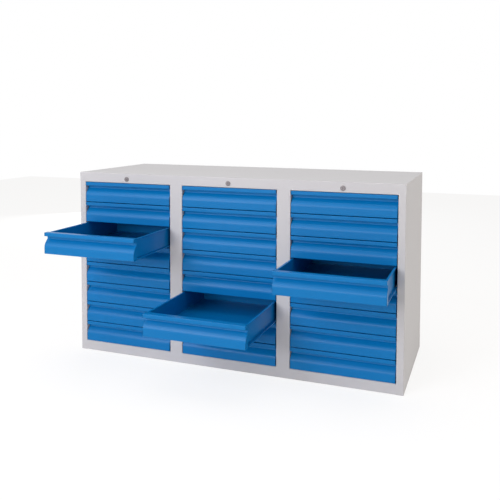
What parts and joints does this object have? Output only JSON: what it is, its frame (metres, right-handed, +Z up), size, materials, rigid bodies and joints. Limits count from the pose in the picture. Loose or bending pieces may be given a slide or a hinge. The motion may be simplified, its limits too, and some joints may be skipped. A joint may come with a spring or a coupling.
{
  "type": "drawer cabinet",
  "caption": "Wide sheet-steel cabinet with columns of shallow drawers, folded finger-grip fronts, a flat worktop and a lock above each column.",
  "frame": {"origin": "middle of the footprint, on the floor", "axes": "+X to the right seen from the front, +Y to the back, so the drawers pull out towards -Y, +Z up"},
  "size_m": [1.5, 0.954, 0.84],
  "materials": {
    "carcass_paint": "satin powder coat",
    "drawer_paint": "satin powder coat",
    "zinc_steel": "zinc plated",
    "lock_nickel": "nickel plated"
  },
  "bodies": {
    "carcass": {"worktop": "carcass_paint", "uprights": "carcass_paint", "base_frame": "carcass_paint", "back_panel": "carcass_paint", "drawer_rails": "zinc_steel", "lock_hardware": "lock_nickel"},
    "lock_plug_left": {"lock_plug_left": "lock_nickel"},
    "lock_bar_left": {"lock_bar_left": "zinc_steel"},
    "drawer_left_1": {"drawer_tray_left_1": "drawer_paint", "drawer_front_left_1": "drawer_paint"},
    "drawer_left_2": {"drawer_tray_left_2": "drawer_paint", "drawer_front_left_2": "drawer_paint"},
    "drawer_left_3": {"drawer_tray_left_3": "drawer_paint", "drawer_front_left_3": "drawer_paint"},
    "drawer_left_4": {"drawer_tray_left_4": "drawer_paint", "drawer_front_left_4": "drawer_paint"},
    "drawer_left_5": {"drawer_tray_left_5": "drawer_paint", "drawer_front_left_5": "drawer_paint"},
    "drawer_left_6": {"drawer_tray_left_6": "drawer_paint", "drawer_front_left_6": "drawer_paint"},
    "drawer_left_7": {"drawer_tray_left_7": "drawer_paint", "drawer_front_left_7": "drawer_paint"},
    "drawer_left_8": {"drawer_tray_left_8": "drawer_paint", "drawer_front_left_8": "drawer_paint"},
    "lock_plug_middle": {"lock_plug_middle": "lock_nickel"},
    "lock_bar_middle": {"lock_bar_middle": "zinc_steel"},
    "drawer_middle_1": {"drawer_tray_middle_1": "drawer_paint", "drawer_front_middle_1": "drawer_paint"},
    "drawer_middle_2": {"drawer_tray_middle_2": "drawer_paint", "drawer_front_middle_2": "drawer_paint"},
    "drawer_middle_3": {"drawer_tray_middle_3": "drawer_paint", "drawer_front_middle_3": "drawer_paint"},
    "drawer_middle_4": {"drawer_tray_middle_4": "drawer_paint", "drawer_front_middle_4": "drawer_paint"},
    "drawer_middle_5": {"drawer_tray_middle_5": "drawer_paint", "drawer_front_middle_5": "drawer_paint"},
    "drawer_middle_6": {"drawer_tray_middle_6": "drawer_paint", "drawer_front_middle_6": "drawer_paint"},
    "drawer_middle_7": {"drawer_tray_middle_7": "drawer_paint", "drawer_front_middle_7": "drawer_paint"},
    "drawer_middle_8": {"drawer_tray_middle_8": "drawer_paint", "drawer_front_middle_8": "drawer_paint"},
    "lock_plug_right": {"lock_plug_right": "lock_nickel"},
    "lock_bar_right": {"lock_bar_right": "zinc_steel"},
    "drawer_right_1": {"drawer_tray_right_1": "drawer_paint", "drawer_front_right_1": "drawer_paint"},
    "drawer_right_2": {"drawer_tray_right_2": "drawer_paint", "drawer_front_right_2": "drawer_paint"},
    "drawer_right_3": {"drawer_tray_right_3": "drawer_paint", "drawer_front_right_3": "drawer_paint"},
    "drawer_right_4": {"drawer_tray_right_4": "drawer_paint", "drawer_front_right_4": "drawer_paint"},
    "drawer_right_5": {"drawer_tray_right_5": "drawer_paint", "drawer_front_right_5": "drawer_paint"},
    "drawer_right_6": {"drawer_tray_right_6": "drawer_paint", "drawer_front_right_6": "drawer_paint"},
    "drawer_right_7": {"drawer_tray_right_7": "drawer_paint", "drawer_front_right_7": "drawer_paint"},
    "drawer_right_8": {"drawer_tray_right_8": "drawer_paint", "drawer_front_right_8": "drawer_paint"}
  },
  "joints": [
    {"name": "lock_turn_left", "type": "hinge", "parent": "carcass", "child": "lock_plug_left", "pos_m": [-0.5, -0.3, 0.814], "axis": [0, 1, 0], "range_deg": [0, 90]},
    {"name": "lock_lift_left", "type": "slide", "parent": "carcass", "child": "lock_bar_left", "axis": [0, 0, 1], "range_m": [0, 0.008]},
    {"name": "slide_left_1", "type": "slide", "parent": "carcass", "child": "drawer_left_1", "axis": [0, -1, 0], "range_m": [0, 0.4]},
    {"name": "slide_left_2", "type": "slide", "parent": "carcass", "child": "drawer_left_2", "axis": [0, -1, 0], "range_m": [0, 0.4]},
    {"name": "slide_left_3", "type": "slide", "parent": "carcass", "child": "drawer_left_3", "axis": [0, -1, 0], "range_m": [-0.305, 0.095]},
    {"name": "slide_left_4", "type": "slide", "parent": "carcass", "child": "drawer_left_4", "axis": [0, -1, 0], "range_m": [0, 0.4]},
    {"name": "slide_left_5", "type": "slide", "parent": "carcass", "child": "drawer_left_5", "axis": [0, -1, 0], "range_m": [0, 0.4]},
    {"name": "slide_left_6", "type": "slide", "parent": "carcass", "child": "drawer_left_6", "axis": [0, -1, 0], "range_m": [0, 0.4]},
    {"name": "slide_left_7", "type": "slide", "parent": "carcass", "child": "drawer_left_7", "axis": [0, -1, 0], "range_m": [0, 0.4]},
    {"name": "slide_left_8", "type": "slide", "parent": "carcass", "child": "drawer_left_8", "axis": [0, -1, 0], "range_m": [0, 0.4]},
    {"name": "lock_turn_middle", "type": "hinge", "parent": "carcass", "child": "lock_plug_middle", "pos_m": [0, -0.3, 0.814], "axis": [0, 1, 0], "range_deg": [0, 90]},
    {"name": "lock_lift_middle", "type": "slide", "parent": "carcass", "child": "lock_bar_middle", "axis": [0, 0, 1], "range_m": [0, 0.008]},
    {"name": "slide_middle_1", "type": "slide", "parent": "carcass", "child": "drawer_middle_1", "axis": [0, -1, 0], "range_m": [0, 0.4]},
    {"name": "slide_middle_2", "type": "slide", "parent": "carcass", "child": "drawer_middle_2", "axis": [0, -1, 0], "range_m": [0, 0.4]},
    {"name": "slide_middle_3", "type": "slide", "parent": "carcass", "child": "drawer_middle_3", "axis": [0, -1, 0], "range_m": [0, 0.4]},
    {"name": "slide_middle_4", "type": "slide", "parent": "carcass", "child": "drawer_middle_4", "axis": [0, -1, 0], "range_m": [0, 0.4]},
    {"name": "slide_middle_5", "type": "slide", "parent": "carcass", "child": "drawer_middle_5", "axis": [0, -1, 0], "range_m": [0, 0.4]},
    {"name": "slide_middle_6", "type": "slide", "parent": "carcass", "child": "drawer_middle_6", "axis": [0, -1, 0], "range_m": [-0.352, 0.048]},
    {"name": "slide_middle_7", "type": "slide", "parent": "carcass", "child": "drawer_middle_7", "axis": [0, -1, 0], "range_m": [0, 0.4]},
    {"name": "slide_middle_8", "type": "slide", "parent": "carcass", "child": "drawer_middle_8", "axis": [0, -1, 0], "range_m": [0, 0.4]},
    {"name": "lock_turn_right", "type": "hinge", "parent": "carcass", "child": "lock_plug_right", "pos_m": [0.5, -0.3, 0.814], "axis": [0, 1, 0], "range_deg": [0, 90]},
    {"name": "lock_lift_right", "type": "slide", "parent": "carcass", "child": "lock_bar_right", "axis": [0, 0, 1], "range_m": [0, 0.008]},
    {"name": "slide_right_1", "type": "slide", "parent": "carcass", "child": "drawer_right_1", "axis": [0, -1, 0], "range_m": [0, 0.4]},
    {"name": "slide_right_2", "type": "slide", "parent": "carcass", "child": "drawer_right_2", "axis": [0, -1, 0], "range_m": [0, 0.4]},
    {"name": "slide_right_3", "type": "slide", "parent": "carcass", "child": "drawer_right_3", "axis": [0, -1, 0], "range_m": [0, 0.4]},
    {"name": "slide_right_4", "type": "slide", "parent": "carcass", "child": "drawer_right_4", "axis": [0, -1, 0], "range_m": [-0.243, 0.157]},
    {"name": "slide_right_5", "type": "slide", "parent": "carcass", "child": "drawer_right_5", "axis": [0, -1, 0], "range_m": [0, 0.4]},
    {"name": "slide_right_6", "type": "slide", "parent": "carcass", "child": "drawer_right_6", "axis": [0, -1, 0], "range_m": [0, 0.4]},
    {"name": "slide_right_7", "type": "slide", "parent": "carcass", "child": "drawer_right_7", "axis": [0, -1, 0], "range_m": [0, 0.4]},
    {"name": "slide_right_8", "type": "slide", "parent": "carcass", "child": "drawer_right_8", "axis": [0, -1, 0], "range_m": [0, 0.4]}
  ],
  "couplings": [
    {"joint": "lock_turn_left", "follows": "lock_lift_left", "rad_per_m": 196.34},
    {"joint": "lock_turn_middle", "follows": "lock_lift_middle", "rad_per_m": 196.34},
    {"joint": "lock_turn_right", "follows": "lock_lift_right", "rad_per_m": 196.34}
  ]
}
